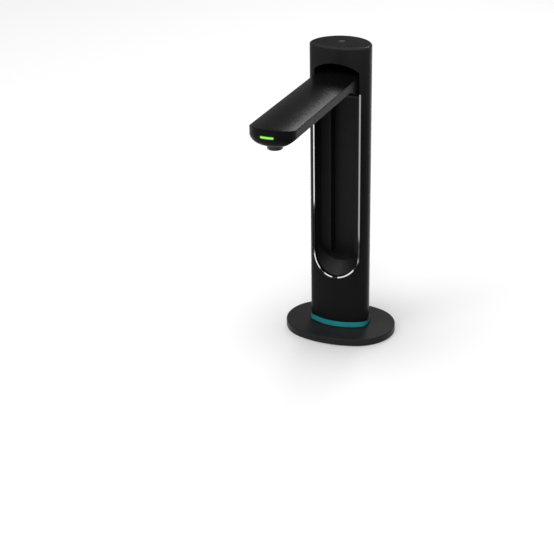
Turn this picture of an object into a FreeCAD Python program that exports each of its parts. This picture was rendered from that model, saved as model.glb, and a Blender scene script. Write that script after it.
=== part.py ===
"""Overhead document scanner: an oval column on a flat foot, with a camera arm that folds into it.

Millimetres, +Z up. The origin is on the surface that the scanner rests on, under the middle of the
column's width and on the line between its shallow front and its deep back. The arm points to -Y.
"""
import FreeCAD
import Part
import Sketcher
import math
import os
from collections import namedtuple
from FreeCAD import Rotation, Vector

doc = FreeCAD.newDocument("overhead_document_scanner")
sheet = doc.addObject("Spreadsheet::Sheet", "Sizes")
pieces = []


# Sizes

class Size:
    """A number that also holds the formula by which the model's objects follow the sheet."""

    def __init__(self, value, formula=None):
        self.value = float(value)
        self.formula = formula or repr(float(value))

    def joined(self, sign, other, value):
        return Size(value, f"({self.formula} {sign} {other.formula})")

    def __add__(self, other):
        other = as_size(other)
        return self.joined("+", other, self.value + other.value)

    def __sub__(self, other):
        other = as_size(other)
        return self.joined("-", other, self.value - other.value)

    def __mul__(self, other):
        other = as_size(other)
        return self.joined("*", other, self.value * other.value)

    def __truediv__(self, other):
        other = as_size(other)
        return self.joined("/", other, self.value / other.value)

    def __radd__(self, other):
        return as_size(other) + self

    def __rsub__(self, other):
        return as_size(other) - self

    def __rmul__(self, other):
        return as_size(other) * self

    def __neg__(self):
        return Size(-self.value, f"(0 - {self.formula})")


def as_size(value):
    return value if isinstance(value, Size) else Size(value)


def root(size):
    return Size(math.sqrt(size.value), f"sqrt({size.formula})")


def square(size):
    return size * size


def size(name, value):
    """Write a driving dimension into the next row of the sheet."""
    row = len(sheet.getUsedCells()) // 2 + 1
    sheet.set(f"A{row}", name)
    sheet.set(f"B{row}", str(value))
    sheet.setAlias(f"B{row}", name)
    return Size(value, f"Sizes.{name}")


# Clearances
fit_gap = size("fit_gap", 0.1)              # round a screw, the lens barrel or the status light
seat_gap = size("seat_gap", 0.2)            # round a piece that drops into its place
part_gap = size("part_gap", 0.3)            # between pieces that only stand beside each other
stack_gap = size("stack_gap", 0.05)         # above and below a piece that is clamped in a stack
thread_gap = size("thread_gap", 0.5)        # past a screw's tip, in its blind hole
shell_seam = size("shell_seam", 0.2)

# Column
overall_height = size("overall_height", 348.0)
column_half_width = size("column_half_width", 35.2)
column_front = size("column_front", 18.2)
column_back = size("column_back", 33.8)
front_corner = size("front_corner", 12.0)
shell_wall = size("shell_wall", 2.5)
rim_rounding = size("rim_rounding", 2.3)
split_y = size("split_y", 12.0)
pillar_margin = size("pillar_margin", 15.2)
pillar_radius = size("pillar_radius", 3.2)
pillar_drop = size("pillar_drop", 8.0)
pillar_rise = size("pillar_rise", 10.8)
sleeve_wall = size("sleeve_wall", 1.3)
rear_seat_depth = size("rear_seat_depth", 10.0)

# Foot
base_half_width = size("base_half_width", 65.9)
base_half_depth = size("base_half_depth", 49.5)
base_offset = size("base_offset", 2.9)
base_corner_margin = size("base_corner_margin", 3.0)
base_height = size("base_height", 9.2)
base_wall = size("base_wall", 2.2)
base_rounding = size("base_rounding", 1.2)
base_screw_margin_x = size("base_screw_margin_x", 20.7)
base_screw_margin_y = size("base_screw_margin_y", 27.0)
pad_thickness = size("pad_thickness", 1.0)
pad_margin = size("pad_margin", 3.0)
plate_thickness = size("plate_thickness", 2.0)
collar_height = size("collar_height", 1.3)
ring_height = size("ring_height", 6.7)
ring_proud = size("ring_proud", 0.6)
ring_rounding = size("ring_rounding", 0.5)
foot_floor = size("foot_floor", 3.0)
foot_wall = size("foot_wall", 3.2)
foot_plug = size("foot_plug", 5.8)
foot_screw_x = size("foot_screw_x", 18.0)
foot_screw_front = size("foot_screw_front", 4.0)
foot_screw_back = size("foot_screw_back", 18.0)
foot_screw_cover = size("foot_screw_cover", 1.0)

# Arm; its heights are counted from the hinge axis
arm_margin = size("arm_margin", 10.5)
arm_rise = size("arm_rise", 12.5)
arm_crown = size("arm_crown", 3.0)
arm_belly = size("arm_belly", 6.5)
arm_side_foot = size("arm_side_foot", 3.0)
arm_tail = size("arm_tail", 25.5)
tail_margin = size("tail_margin", 6.0)
tail_arc_margin = size("tail_arc_margin", 16.3)
nose_gap = size("nose_gap", 1.7)
nose_arc_margin = size("nose_arc_margin", 3.8)
nose_corner = size("nose_corner", 12.0)
nose_curve = size("nose_curve", 11.0)
chin_rise = size("chin_rise", 1.6)
arm_wall = size("arm_wall", 2.0)
arm_seam_drop = size("arm_seam_drop", 1.2)
knuckle_radius = size("knuckle_radius", 11.0)
knuckle_length = size("knuckle_length", 36.0)
arm_screw_x = size("arm_screw_x", 10.0)
arm_screw_near = size("arm_screw_near", 40.0)
arm_screw_far_gap = size("arm_screw_far_gap", 29.0)
arm_screw_seat = size("arm_screw_seat", 3.6)

# Slot, trim and the tray behind the slot
slot_gap = size("slot_gap", 1.6)
slot_tail_gap = size("slot_tail_gap", 2.0)
slot_bottom = size("slot_bottom", 75.0)
slot_arch_margin = size("slot_arch_margin", 14.7)
trim_width = size("trim_width", 2.0)
trim_depth = size("trim_depth", 3.5)
trim_proud = size("trim_proud", 0.3)
trim_drop = size("trim_drop", 6.5)
recess_widening = size("recess_widening", 0.5)
recess_rise = size("recess_rise", 13.5)
recess_bottom_margin = size("recess_bottom_margin", 2.7)
recess_top_gap = size("recess_top_gap", 7.5)
fold_gap = size("fold_gap", 3.5)
channel_half_width = size("channel_half_width", 14.7)
channel_room = size("channel_room", 5.7)
liner_wall = size("liner_wall", 1.6)
liner_boss_margin = size("liner_boss_margin", 5.8)
liner_boss_height = size("liner_boss_height", 14.0)
tab_half_width = size("tab_half_width", 16.0)
tab_length = size("tab_length", 13.0)
tab_setback = size("tab_setback", 10.2)
tab_thickness = size("tab_thickness", 2.0)
tab_screw_x = size("tab_screw_x", 12.0)
tab_screw_drop = size("tab_screw_drop", 8.0)

# Hinge
shaft_radius = size("shaft_radius", 3.0)
shaft_clearance = size("shaft_clearance", 0.05)
shaft_end = size("shaft_end", 0.55)
bush_flange = size("bush_flange", 1.9)
bush_radius = size("bush_radius", 4.5)
bush_flange_radius = size("bush_flange_radius", 6.0)
yoke_thickness = size("yoke_thickness", 2.3)
yoke_setback = size("yoke_setback", 12.0)
yoke_back = size("yoke_back", 12.0)
yoke_bar = size("yoke_bar", 2.5)
yoke_bar_back = size("yoke_bar_back", 3.0)
yoke_tongue = size("yoke_tongue", 12.0)
yoke_wing = size("yoke_wing", 4.8)
yoke_screw_y = size("yoke_screw_y", 2.0)
spring_height = size("spring_height", 1.1)
spring_plate = size("spring_plate", 0.6)
spring_bore_gap = size("spring_bore_gap", 0.25)
clip_thickness = size("clip_thickness", 0.7)
clip_radius = size("clip_radius", 4.0)
clip_gap = size("clip_gap", 0.05)
groove_radius = size("groove_radius", 2.4)
stop_half_width = size("stop_half_width", 6.0)
stop_length = size("stop_length", 8.0)
stop_setback = size("stop_setback", 1.0)

# Arm frame, camera, status light and lamp
frame_thickness = size("frame_thickness", 2.0)
frame_half_width = size("frame_half_width", 14.0)
frame_neck = size("frame_neck", 14.0)
frame_web = size("frame_web", 5.4)
ear_gap = size("ear_gap", 2.7)
ear_thickness = size("ear_thickness", 3.0)
ear_radius = size("ear_radius", 7.0)
ear_sink = size("ear_sink", 1.0)
lens_setback = size("lens_setback", 21.4)
lens_drop = size("lens_drop", 11.0)
lens_radius = size("lens_radius", 8.0)
lens_bore = size("lens_bore", 6.0)
lens_rim = size("lens_rim", 0.6)
lens_seat = size("lens_seat", 2.5)
glass_depth = size("glass_depth", 1.4)
glass_thickness = size("glass_thickness", 1.2)
cell_gap = size("cell_gap", 0.5)
cell_radius = size("cell_radius", 4.6)
cell_flange = size("cell_flange", 1.5)
holder_half_width = size("holder_half_width", 7.5)
holder_height = size("holder_height", 4.5)
board_thickness = size("board_thickness", 1.2)
sensor_board_half_width = size("sensor_board_half_width", 9.0)
sensor_board_half_length = size("sensor_board_half_length", 9.75)
flex_thickness = size("flex_thickness", 0.4)
flex_half_width = size("flex_half_width", 5.0)
flex_lap = size("flex_lap", 4.0)
flex_root = size("flex_root", 24.0)
status_half_width = size("status_half_width", 7.5)
status_half_height = size("status_half_height", 1.5)
status_rise = size("status_rise", 7.0)
status_depth = size("status_depth", 3.2)
status_card_setback = size("status_card_setback", 7.7)
status_card_half_width = size("status_card_half_width", 8.5)
status_card_low = size("status_card_low", 3.0)
status_card_high = size("status_card_high", 5.8)
status_led_spacing = size("status_led_spacing", 6.0)
status_led_half = size("status_led_half", 1.1)
status_led_reach = size("status_led_reach", 2.2)
lamp_half_width = size("lamp_half_width", 6.4)
lamp_length = size("lamp_length", 70.0)
lamp_lens_gap = size("lamp_lens_gap", 39.0)
lamp_led_half = size("lamp_led_half", 1.75)
lamp_led_height = size("lamp_led_height", 0.95)
lamp_board_margin = size("lamp_board_margin", 1.0)
lamp_board_half_width = size("lamp_board_half_width", 5.5)
LAMP_LEDS = 6

# Cap, button and switch
cap_thickness = size("cap_thickness", 2.5)
cap_leg_thickness = size("cap_leg_thickness", 3.0)
cap_leg_half_depth = size("cap_leg_half_depth", 6.0)
cap_post_x = size("cap_post_x", 10.0)
cap_post_radius = size("cap_post_radius", 2.0)
button_radius = size("button_radius", 5.5)
button_y = size("button_y", 7.8)
button_travel = size("button_travel", 0.8)
button_flange = size("button_flange", 1.2)
button_lip = size("button_lip", 1.1)
button_chamfer = size("button_chamfer", 0.3)
button_dish = size("button_dish", 0.4)
button_dish_margin = size("button_dish_margin", 0.9)
button_gap = size("button_gap", 0.25)
stem_length = size("stem_length", 0.7)
plunger_radius = size("plunger_radius", 1.5)
plunger_length = size("plunger_length", 2.8)
switch_half_width = size("switch_half_width", 3.0)
switch_height = size("switch_height", 3.8)
switch_board_drop = size("switch_board_drop", 9.8)
switch_board_half_width = size("switch_board_half_width", 13.0)
switch_board_half_depth = size("switch_board_half_depth", 6.5)
coil_radius = size("coil_radius", 5.0)
coil_wire = size("coil_wire", 0.3)
coil_end_gap = size("coil_end_gap", 0.02)
COIL_TURNS = 3

# Fasteners
screw_radius = size("screw_radius", 1.5)
screw_head_radius = size("screw_head_radius", 2.8)
small_screw_radius = size("small_screw_radius", 1.0)
small_head_radius = size("small_head_radius", 1.8)
screw_head_height = size("screw_head_height", 1.4)
boss_radius = size("boss_radius", 3.0)
rear_screw_length = size("rear_screw_length", 18.0)
board_screw_length = size("board_screw_length", 6.5)
liner_screw_length = size("liner_screw_length", 6.0)
yoke_low_screw_length = size("yoke_low_screw_length", 8.0)
yoke_top_screw_length = size("yoke_top_screw_length", 5.5)
switch_screw_length = size("switch_screw_length", 5.0)
arm_screw_length = size("arm_screw_length", 11.0)

# Electronics at the foot of the column
board_rise = size("board_rise", 18.8)
main_board_thickness = size("main_board_thickness", 1.6)
main_board_margin = size("main_board_margin", 13.2)
main_board_front = size("main_board_front", 9.0)
main_board_corner = size("main_board_corner", 8.0)
main_board_slope = size("main_board_slope", 12.5)
post_radius = size("post_radius", 2.5)
post_inset = size("post_inset", 8.0)        # from the pillars
post_front = size("post_front", 5.0)
post_back = size("post_back", 15.0)
parts_margin = size("parts_margin", 3.0)
chip_height = size("chip_height", 1.4)
chip_half_width = size("chip_half_width", 6.0)
memory_half_width = size("memory_half_width", 4.0)
memory_height = size("memory_height", 1.0)
choke_half_width = size("choke_half_width", 3.0)
choke_height = size("choke_height", 3.0)
capacitor_radius = size("capacitor_radius", 2.5)
capacitor_height = size("capacitor_height", 5.5)
plug_height = size("plug_height", 4.0)
plug_depth = size("plug_depth", 4.5)
cable_half_width = size("cable_half_width", 4.0)
cable_x = size("cable_x", 10.0)
cable_thickness = size("cable_thickness", 0.6)
cable_end = size("cable_end", 6.0)
socket_half_width = size("socket_half_width", 4.5)
socket_height = size("socket_height", 3.2)
socket_length = size("socket_length", 9.6)
socket_setback = size("socket_setback", 0.7)
socket_overhang = size("socket_overhang", 4.1)
socket_wall = size("socket_wall", 0.35)
socket_back_wall = size("socket_back_wall", 2.0)
tongue_half_width = size("tongue_half_width", 3.3)
tongue_setback = size("tongue_setback", 1.0)
well_half_width = size("well_half_width", 6.5)
well_half_height = size("well_half_height", 3.5)
well_corner = size("well_corner", 2.0)

doc.recompute()

# Places that follow from the sizes
back_corner = column_back * 2 - column_half_width
base_corner = base_half_depth - base_corner_margin
collar_top = base_height + collar_height
shell_bottom = collar_top + ring_height
base_top = base_height - base_wall
plate_top = pad_thickness + plate_thickness
weight_bottom = plate_top + stack_gap
weight_top = base_top - stack_gap
pillar_x = column_half_width - pillar_margin
post_x = pillar_x - post_inset
main_board_half_width = column_half_width - main_board_margin
pillar_low = shell_bottom + pillar_rise
pillar_high = overall_height - pillar_drop
foot_top = shell_bottom + foot_plug
rear_seat = split_y + rear_seat_depth

yoke_top = pillar_high - pillar_radius - part_gap
axis_z = yoke_top - yoke_bar - tail_margin - arm_tail
arm_half_width = column_half_width - arm_margin
arm_top_edge = axis_z + arm_rise
seam_z = arm_top_edge - arm_seam_drop
recess_bottom = slot_bottom + recess_rise
arm_reach = axis_z - recess_bottom - nose_gap
nose_radius = arm_half_width + nose_arc_margin
tail_radius = arm_half_width + tail_arc_margin
nose_centre = -arm_reach + nose_radius
lens_centre = -arm_reach + lens_setback
status_face = -arm_reach + status_card_setback
lamp_far = lens_centre + lamp_lens_gap
lamp_near = lamp_far + lamp_length

slot_half_width = arm_half_width + slot_gap
slot_centre = slot_bottom + slot_half_width
slot_top = axis_z + arm_tail + slot_tail_gap
slot_arch_radius = slot_half_width + slot_arch_margin
trim_top = axis_z - trim_drop
recess_half_width = slot_half_width + recess_widening
recess_bottom_radius = recess_half_width + recess_bottom_margin
recess_depth = arm_belly + fold_gap
recess_top = axis_z - knuckle_radius - recess_top_gap
recess_back = recess_depth + liner_wall
channel_depth = column_back - shell_wall - liner_wall - channel_room
liner_boss_x = recess_half_width - liner_boss_margin
liner_boss_y = recess_back + boss_radius - part_gap
tab_front = tab_setback - column_front
tab_screw_z = slot_bottom - tab_screw_drop

bush_face = arm_half_width + part_gap
yoke_inside = bush_face + bush_flange
yoke_outside = yoke_inside + yoke_thickness
yoke_front = column_front - yoke_setback
clip_face = yoke_outside + spring_height + clip_gap

deck_top = axis_z + frame_thickness
cap_under = overall_height - cap_thickness
switch_board_top = overall_height - switch_board_drop
board_level = shell_bottom + board_rise
main_board_top = board_level + main_board_thickness
socket_face = column_back - shell_wall - socket_setback
socket_middle = main_board_top + socket_height / 2

MARGIN = Size(1.0)       # by which a cutting tool runs past the face that it cuts
WIDE = Size(90.0)        # past the scanner's half width, for cutting tools
LONG = Size(260.0)       # past the arm's reach, for cutting tools


# Building blocks

def bind(thing, **values):
    """Bind properties to formulas; two underscores stand for the dot in a property's name."""
    for name, value in values.items():
        thing.setExpression(name.replace("__", "."), as_size(value).formula)
    return thing


def piece(thing, name):
    """Name a finished sub-part; its label names its file."""
    thing.Label = name
    pieces.append(thing)
    return thing


def datum(sketch, constraint, value):
    index = sketch.addConstraint(constraint)
    sketch.setExpression(f"Constraints[{index}]", value.formula)


def draw_loop(sketch, loop):
    """Add a closed loop of (x, y, radius) corners; the radius is that of the arc to the next corner.

    None draws a line. An arc bulges to the right of the way from its corner to the next.
    """
    first = sketch.GeometryCount
    corners = [(as_size(x), as_size(y), radius) for x, y, radius in loop]
    count = len(corners)
    starts = []
    for i, (x, y, radius) in enumerate(corners):
        after = corners[(i + 1) % count]
        p = Vector(x.value, y.value, 0)
        q = Vector(after[0].value, after[1].value, 0)
        if radius is None:
            index = sketch.addGeometry(Part.LineSegment(p, q), False)
        else:
            radius = as_size(radius).value
            half = (q - p).Length / 2
            way = (q - p).normalize()
            rise = radius - math.sqrt(radius ** 2 - half ** 2)
            middle = (p + q) * 0.5 + Vector(way.y, -way.x, 0) * rise
            index = sketch.addGeometry(Part.Arc(p, middle, q), False)
        start = sketch.Geometry[index].StartPoint
        starts.append(1 if (start - p).Length < (start - q).Length else 2)
    for i in range(count):
        j = (i + 1) % count
        end = 3 - starts[i]
        sketch.addConstraint(Sketcher.Constraint("Coincident", first + i, end, first + j, starts[j]))
    for i, (x, y, radius) in enumerate(corners):
        datum(sketch, Sketcher.Constraint("DistanceX", -1, 1, first + i, starts[i], x.value), x)
        datum(sketch, Sketcher.Constraint("DistanceY", -1, 1, first + i, starts[i], y.value), y)
        if radius is not None:
            radius = as_size(radius)
            datum(sketch, Sketcher.Constraint("Radius", first + i, radius.value), radius)


def draw_circle(sketch, circle):
    x, y, radius = [as_size(value) for value in circle]
    centre = Vector(x.value, y.value, 0)
    index = sketch.addGeometry(Part.Circle(centre, Vector(0, 0, 1), radius.value), False)
    datum(sketch, Sketcher.Constraint("DistanceX", -1, 1, index, 3, x.value), x)
    datum(sketch, Sketcher.Constraint("DistanceY", -1, 1, index, 3, y.value), y)
    datum(sketch, Sketcher.Constraint("Radius", index, radius.value), radius)


def draw(sketch, shapes):
    """Draw loops, given as lists of corners, and circles, given as (x, y, radius)."""
    for shape in shapes:
        if isinstance(shape, tuple):
            draw_circle(sketch, shape)
        else:
            draw_loop(sketch, shape)


def box_loop(x, y):
    return [(x[0], y[0], None), (x[1], y[0], None), (x[1], y[1], None), (x[0], y[1], None)]


def rounded_loop(half_x, half_y, radius, middle):
    """A rectangle with round corners, about x = 0."""
    x, y = half_x - radius, half_y - radius
    low, high = middle - half_y, middle + half_y
    return [(-x, low, None), (x, low, radius), (half_x, middle - y, None), (half_x, middle + y, radius),
            (x, high, None), (-x, high, radius), (-half_x, middle + y, None), (-half_x, middle - y, radius)]


PLANES = {"X": "YZ_Plane", "Y": "XZ_Plane", "Z": "XY_Plane"}


def new_sketch(body, across, level, name="Outline"):
    """A sketch square to X, Y or Z at this level, on the body's own origin plane.

    Its own two axes are the other two axes of the part, in the order X, Y, Z.
    """
    plane = [f for f in body.Origin.OriginFeatures if f.Role == PLANES[across]][0]
    sketch = body.newObject("Sketcher::SketchObject", name)
    sketch.AttachmentSupport = (plane, [""])
    sketch.MapMode = "FlatFace"
    offset = -as_size(level) if across == "Y" else as_size(level)
    return bind(sketch, AttachmentOffset__Base__z=offset)


def prism(name, across, start, end, *shapes):
    """A body whose outline, square to X, Y or Z, runs from start to end; inner shapes are holes."""
    body = doc.addObject("PartDesign::Body", name)
    sketch = new_sketch(body, across, end if across == "Y" else start)
    draw(sketch, shapes)
    pad = body.newObject("PartDesign::Pad", "Pad")
    pad.Profile = sketch
    bind(pad, Length=as_size(end) - start)
    return body


def turned(name, loop, axis="V_Axis", at=(0, 0, 0)):
    """A body turned about its profile's upright or level axis, then moved to its place."""
    body = doc.addObject("PartDesign::Body", name)
    sketch = new_sketch(body, "Y", 0, "Profile")
    draw_loop(sketch, loop)
    turn = body.newObject("PartDesign::Revolution", "Revolution")
    turn.Profile = sketch
    turn.ReferenceAxis = (sketch, [axis])
    turn.Angle = 360
    return place(body, at)


def pocket(body, level, depth, *shapes):
    """Cut shapes upwards into the body from this height."""
    sketch = new_sketch(body, "Z", level, "Cut")
    draw(sketch, shapes)
    cut_in = body.newObject("PartDesign::Pocket", "Pocket")
    cut_in.Profile = sketch
    cut_in.Reversed = True
    bind(cut_in, Length=depth)
    return body


def round_top(body, radius, level):
    """Round the edges of the body's last feature that lie at this height."""
    doc.recompute()
    last = body.Tip
    boxes = [edge.BoundBox for edge in last.Shape.Edges]
    names = [f"Edge{i + 1}" for i, box in enumerate(boxes)
             if abs(box.ZMin - level.value) < 1e-4 and abs(box.ZMax - level.value) < 1e-4]
    rounding = body.newObject("PartDesign::Fillet", "Rounding")
    rounding.Base = (last, names)
    bind(rounding, Radius=radius)
    return body


def place(thing, position):
    for axis, value in zip("xyz", position):
        thing.setExpression(f"Placement.Base.{axis}", as_size(value).formula)
    return thing


def block(name, x, y, z):
    """A box between two limits on each axis."""
    thing = doc.addObject("Part::Box", name)
    bind(thing, Length=as_size(x[1]) - x[0], Width=as_size(y[1]) - y[0], Height=as_size(z[1]) - z[0])
    return place(thing, (x[0], y[0], z[0]))


TURN_TO = {"X": Rotation(Vector(0, 1, 0), 90), "Y": Rotation(Vector(1, 0, 0), -90), "Z": Rotation()}


def rod(name, axis, radius, start, length):
    """A round bar along X, Y or Z from its start point."""
    thing = doc.addObject("Part::Cylinder", name)
    thing.Placement.Rotation = TURN_TO[axis]
    bind(thing, Radius=radius, Height=length)
    return place(thing, start)


def fuse(name, *things):
    joined = doc.addObject("Part::MultiFuse", name)
    joined.Shapes = list(things)
    joined.Refine = True
    return joined


def common(name, *things):
    shared = doc.addObject("Part::MultiCommon", name)
    shared.Shapes = list(things)
    shared.Refine = True
    return shared


def cut(name, base, *tools, refine=True):
    result = doc.addObject("Part::Cut", name)
    result.Base = base
    result.Tool = tools[0] if len(tools) == 1 else fuse(name + "Tools", *tools)
    result.Refine = refine
    return result


def group(name, things):
    """Separate equal solids under one name."""
    bunch = doc.addObject("Part::Compound", name)
    bunch.Links = things
    return piece(bunch, name)


# Screws: one record says where a screw is, and so where its holes are

Screw = namedtuple("Screw", "axis seat length radius head")


def run(name, screw, radius, start, end):
    """A round bar on the screw's line; start and end count from the head's seat towards the tip."""
    index = "XYZ".index(screw.axis[1])
    point = list(screw.seat)
    low = as_size(start) if screw.axis[0] == "+" else -as_size(end)
    point[index] = as_size(point[index]) + low
    return rod(name, screw.axis[1], radius, point, as_size(end) - start)


def screw_group(name, screws):
    """Round-headed screws with plain shanks."""
    made = []
    for screw in screws:
        shank = run("Shank", screw, screw.radius, 0, screw.length)
        head = run("Head", screw, screw.head, -screw_head_height, 0)
        made.append(fuse("Screw", shank, head))
    return group(name, made)


def pilots(screws, start=0):
    """Blind holes that the shanks bite into."""
    return [run("Pilot", s, s.radius, start, s.length + thread_gap) for s in screws]


def passages(screws, end):
    """Clearance holes that begin behind the seat."""
    return [run("Passage", s, s.radius + fit_gap, -MARGIN, end) for s in screws]


def sinks(screws):
    """Wells for the heads, open behind them."""
    return [run("Sink", s, s.head + fit_gap, -WIDE, 0) for s in screws]


def in_corners(x, low, high):
    return [(side, level) for side in (-x, x) for level in (low, high)]


def small_screws(axis, length, seats):
    return [Screw(axis, seat, length, small_screw_radius, small_head_radius) for seat in seats]


def large_screws(axis, length, seats):
    return [Screw(axis, seat, length, screw_radius, screw_head_radius) for seat in seats]


base_screw_x = base_half_width - base_screw_margin_x
base_screw_y = base_half_depth - base_screw_margin_y
base_seat = pad_thickness + screw_head_height
foot_seat = weight_bottom + screw_head_height + seat_gap
base_screws = small_screws("+Z", base_top - base_seat - thread_gap, [
    (x, base_offset + y, base_seat) for x, y in in_corners(base_screw_x, -base_screw_y, base_screw_y)])
foot_screws = large_screws("+Z", weight_top + foot_floor - foot_screw_cover - foot_seat, [
    (x, y, foot_seat) for x, y in in_corners(foot_screw_x, -foot_screw_front, foot_screw_back)])
board_screws = small_screws("-Z", board_screw_length, [
    (x, y, main_board_top) for x, y in in_corners(post_x, -post_front, post_back)])
rear_screws = large_screws("-Y", rear_screw_length, [
    (x, rear_seat, z) for x, z in in_corners(pillar_x, pillar_low, pillar_high)])
liner_screws = small_screws("-Y", liner_screw_length, [
    (x, tab_front + tab_thickness, tab_screw_z) for x in (-tab_screw_x, tab_screw_x)])
yoke_low_screws = small_screws("-Z", yoke_low_screw_length, [
    (x, liner_boss_y, recess_top + yoke_bar) for x in (-liner_boss_x, liner_boss_x)])
yoke_top_screws = small_screws("+Z", yoke_top_screw_length, [
    (x, -yoke_screw_y, yoke_top - yoke_bar) for x in (-pillar_x, pillar_x)])
switch_screws = small_screws("+Z", switch_screw_length, [
    (x, button_y, switch_board_top - board_thickness) for x in (-cap_post_x, cap_post_x)])
arm_screws = small_screws("+Z", arm_screw_length, [
    (x, y, axis_z - arm_screw_seat)
    for x, y in in_corners(arm_screw_x, lens_centre + arm_screw_far_gap, -arm_screw_near)])


# Outlines that several pieces share

def oval_arc(half_width, depth, corner):
    """Radius of an oval's long arc, and where that arc meets the corner arc."""
    long = (square(half_width - corner) + square(depth) - square(corner)) / (2 * (depth - corner))
    x = (half_width - corner) * long / (long - corner)
    y = corner * (long - depth) / (long - corner)
    return long, x, y


def column_loop(inset):
    """Section of the column: a shallow front and a deep back, moved in by the inset."""
    half, front, back = column_half_width - inset, column_front - inset, column_back - inset
    front_radius, back_radius = front_corner - inset, back_corner - inset
    front_long, fx, fy = oval_arc(half, front, front_radius)
    back_long, bx, by = oval_arc(half, back, back_radius)
    return [(-fx, -fy, front_long), (fx, -fy, front_radius), (half, 0, back_radius),
            (bx, by, back_long), (-bx, by, back_radius), (-half, 0, front_radius)]


def base_loop(inset):
    """Outline of the foot, moved in by the inset."""
    half, depth, corner = base_half_width - inset, base_half_depth - inset, base_corner - inset
    long, x, y = oval_arc(half, depth, corner)
    return [(-x, base_offset - y, long), (x, base_offset - y, corner), (half, base_offset, corner),
            (x, base_offset + y, long), (-x, base_offset + y, corner), (-half, base_offset, corner)]


def stadium_loop(half, top):
    """The slot's half round foot and straight sides, up to this height."""
    return [(-half, slot_centre, half), (0, slot_centre - half, half), (half, slot_centre, None),
            (half, top, None), (-half, top, None)]


def slot_loop():
    """The slot in the column's front: a half round foot, straight sides and a flat arch."""
    half, arch = slot_half_width, slot_arch_radius
    shoulder = slot_top - slot_arch_radius + root(square(arch) - square(half))
    return [(-half, slot_centre, half), (0, slot_centre - half, half), (half, slot_centre, None),
            (half, shoulder, arch), (-half, shoulder, None)]


def tray_loop(top):
    """Outline of the deep part of the tray, round at its foot, up to this height."""
    half, radius = recess_half_width, recess_bottom_radius
    shoulder = recess_bottom + radius - root(square(radius) - square(half))
    return [(-half, shoulder, radius), (0, recess_bottom, radius), (half, shoulder, None),
            (half, top, None), (-half, top, None)]


def status_loop(grow):
    half_height = status_half_height + grow
    return rounded_loop(status_half_width + grow, half_height, half_height * 0.95, axis_z + status_rise)


# Foot of the scanner

def make_foot():
    cover = prism("CoverBlank", "Z", pad_thickness, base_height, base_loop(0))
    round_top(cover, base_rounding, base_height)
    hollow = prism("CoverHollow", "Z", -MARGIN, base_top, base_loop(base_wall))
    mouth = prism("CoverMouth", "Z", 0, collar_top + MARGIN, column_loop(shell_wall))
    collar = prism("CoverCollar", "Z", base_top + base_wall / 2, collar_top, column_loop(0))
    bosses = [rod("CoverBoss", "Z", boss_radius, (s.seat[0], s.seat[1], plate_top),
                  base_height - base_wall / 2 - plate_top) for s in base_screws]
    shell = cut("CoverShell", fuse("CoverCollared", cover, collar), hollow, mouth)
    piece(cut("BaseCover", fuse("CoverBossed", shell, *bosses), *pilots(base_screws)), "base_cover")

    plate = prism("BasePlate", "Z", pad_thickness, plate_top, base_loop(base_wall + seat_gap),
                  *[(s.seat[0], s.seat[1], s.radius + fit_gap) for s in base_screws])
    pocket(plate, pad_thickness, screw_head_height,
           *[(s.seat[0], s.seat[1], s.head + fit_gap) for s in base_screws])
    piece(plate, "base_plate")
    screw_group("base_screws", base_screws)

    weight = prism("BaseWeight", "Z", weight_bottom, weight_top, base_loop(base_wall + seat_gap),
                   *[(s.seat[0], s.seat[1], boss_radius + part_gap) for s in base_screws],
                   *[(s.seat[0], s.seat[1], s.radius + fit_gap) for s in foot_screws])
    pocket(weight, weight_bottom, foot_seat - weight_bottom,
           *[(s.seat[0], s.seat[1], s.head + fit_gap) for s in foot_screws])
    piece(weight, "base_weight")
    screw_group("foot_screws", foot_screws)
    piece(prism("BasePad", "Z", 0, pad_thickness, base_loop(pad_margin)), "base_pad")


def make_column_foot():
    inset = shell_wall + seat_gap
    cup_floor = weight_top + foot_floor
    tube = prism("FootTube", "Z", weight_top, foot_top, column_loop(inset))
    bore = prism("FootBore", "Z", cup_floor, foot_top + MARGIN, column_loop(inset + foot_wall))
    posts = [rod("FootPost", "Z", post_radius, (s.seat[0], s.seat[1], cup_floor - foot_floor / 2),
                 board_level - cup_floor + foot_floor / 2) for s in board_screws]
    cup = fuse("FootPosted", cut("FootCup", tube, bore), *posts)
    piece(cut("ColumnFoot", cup, *pilots(board_screws), *pilots(foot_screws)), "column_foot")
    ring = prism("RingBlank", "Z", collar_top, shell_bottom, column_loop(-ring_proud))
    round_top(ring, ring_rounding, shell_bottom)
    bore = prism("RingBore", "Z", base_top, shell_bottom + MARGIN, column_loop(shell_wall))
    piece(cut("AccentRing", ring, bore), "accent_ring")


# Column casing

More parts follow.
